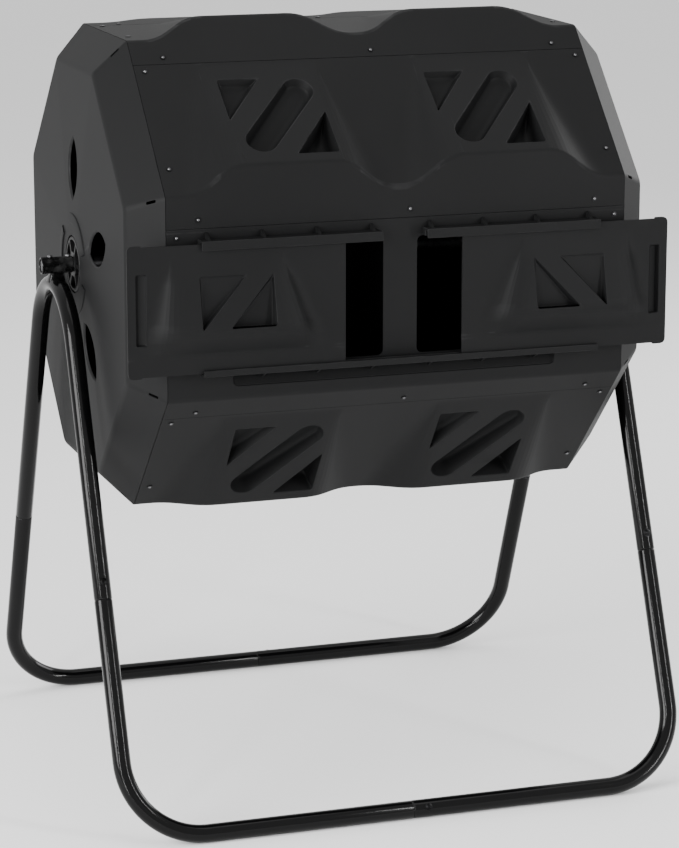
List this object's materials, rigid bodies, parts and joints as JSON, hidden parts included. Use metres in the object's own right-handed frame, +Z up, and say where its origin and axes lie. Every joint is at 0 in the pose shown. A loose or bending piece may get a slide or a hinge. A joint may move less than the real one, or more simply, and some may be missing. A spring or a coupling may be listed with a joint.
{
  "type": "compost tumbler",
  "caption": "Two-chamber eight-sided compost drum on an axle in a bent-tube stand, with sliding doors on its front face.",
  "frame": {"origin": "on the floor, midway between the four feet", "axes": "+Z up, the doors face -Y, the drum's axle runs along X"},
  "size_m": [0.724, 0.653, 0.93],
  "materials": {
    "drum_plastic": "charcoal moulded plastic, fine grain",
    "hub_plastic": "black moulded plastic",
    "black_tube": "gloss black powder coat",
    "black_hardware": "black oxide",
    "zinc_steel": "zinc plated"
  },
  "bodies": {
    "frame": {"leg_frame_left": "black_tube", "leg_frame_right": "black_tube", "lower_tube_front_left": "black_tube", "lower_tube_front_right": "black_tube", "lower_tube_rear_left": "black_tube", "lower_tube_rear_right": "black_tube", "axle_sleeve_left": "black_tube", "axle_sleeve_right": "black_tube", "axle": "zinc_steel", "axle_screw_outer_left": "zinc_steel", "axle_screw_outer_right": "zinc_steel", "axle_screw_inner_left": "zinc_steel", "axle_screw_inner_right": "zinc_steel", "leg_bolt_front_left": "black_hardware", "leg_bolt_front_right": "black_hardware", "leg_bolt_rear_left": "black_hardware", "leg_bolt_rear_right": "black_hardware", "floor_bolt_front": "black_hardware", "floor_bolt_rear": "black_hardware"},
    "drum": {"top_panel": "drum_plastic", "upper_front_panel": "drum_plastic", "door_panel": "drum_plastic", "lower_front_panel": "drum_plastic", "bottom_panel": "drum_plastic", "lower_rear_panel": "drum_plastic", "rear_panel": "drum_plastic", "upper_rear_panel": "drum_plastic", "end_cap_left": "drum_plastic", "end_cap_right": "drum_plastic", "partition": "drum_plastic", "hub_left": "hub_plastic", "hub_right": "hub_plastic", "top_panel_screw_1": "zinc_steel", "top_panel_screw_2": "zinc_steel", "top_panel_screw_3": "zinc_steel", "upper_front_panel_screw_1": "zinc_steel", "upper_front_panel_screw_2": "zinc_steel", "upper_front_panel_screw_3": "zinc_steel", "door_panel_screw_1": "zinc_steel", "door_panel_screw_2": "zinc_steel", "door_panel_screw_3": "zinc_steel", "lower_front_panel_screw_1": "zinc_steel", "lower_front_panel_screw_2": "zinc_steel", "lower_front_panel_screw_3": "zinc_steel", "bottom_panel_screw_1": "zinc_steel", "bottom_panel_screw_2": "zinc_steel", "bottom_panel_screw_3": "zinc_steel", "lower_rear_panel_screw_1": "zinc_steel", "lower_rear_panel_screw_2": "zinc_steel", "lower_rear_panel_screw_3": "zinc_steel", "rear_panel_screw_1": "zinc_steel", "rear_panel_screw_2": "zinc_steel", "rear_panel_screw_3": "zinc_steel", "upper_rear_panel_screw_1": "zinc_steel", "upper_rear_panel_screw_2": "zinc_steel", "upper_rear_panel_screw_3": "zinc_steel"},
    "door_left": {"door_left": "drum_plastic"},
    "door_right": {"door_right": "drum_plastic"}
  },
  "joints": [
    {"name": "drum_spin", "type": "hinge", "parent": "frame", "child": "drum", "pos_m": [0, 0, 0.63], "axis": [1, 0, 0], "continuous": true},
    {"name": "door_left_slide", "type": "slide", "parent": "drum", "child": "door_left", "axis": [-1, 0, 0], "range_m": [-0.05, 0.111]},
    {"name": "door_right_slide", "type": "slide", "parent": "drum", "child": "door_right", "axis": [1, 0, 0], "range_m": [-0.05, 0.111]}
  ]
}
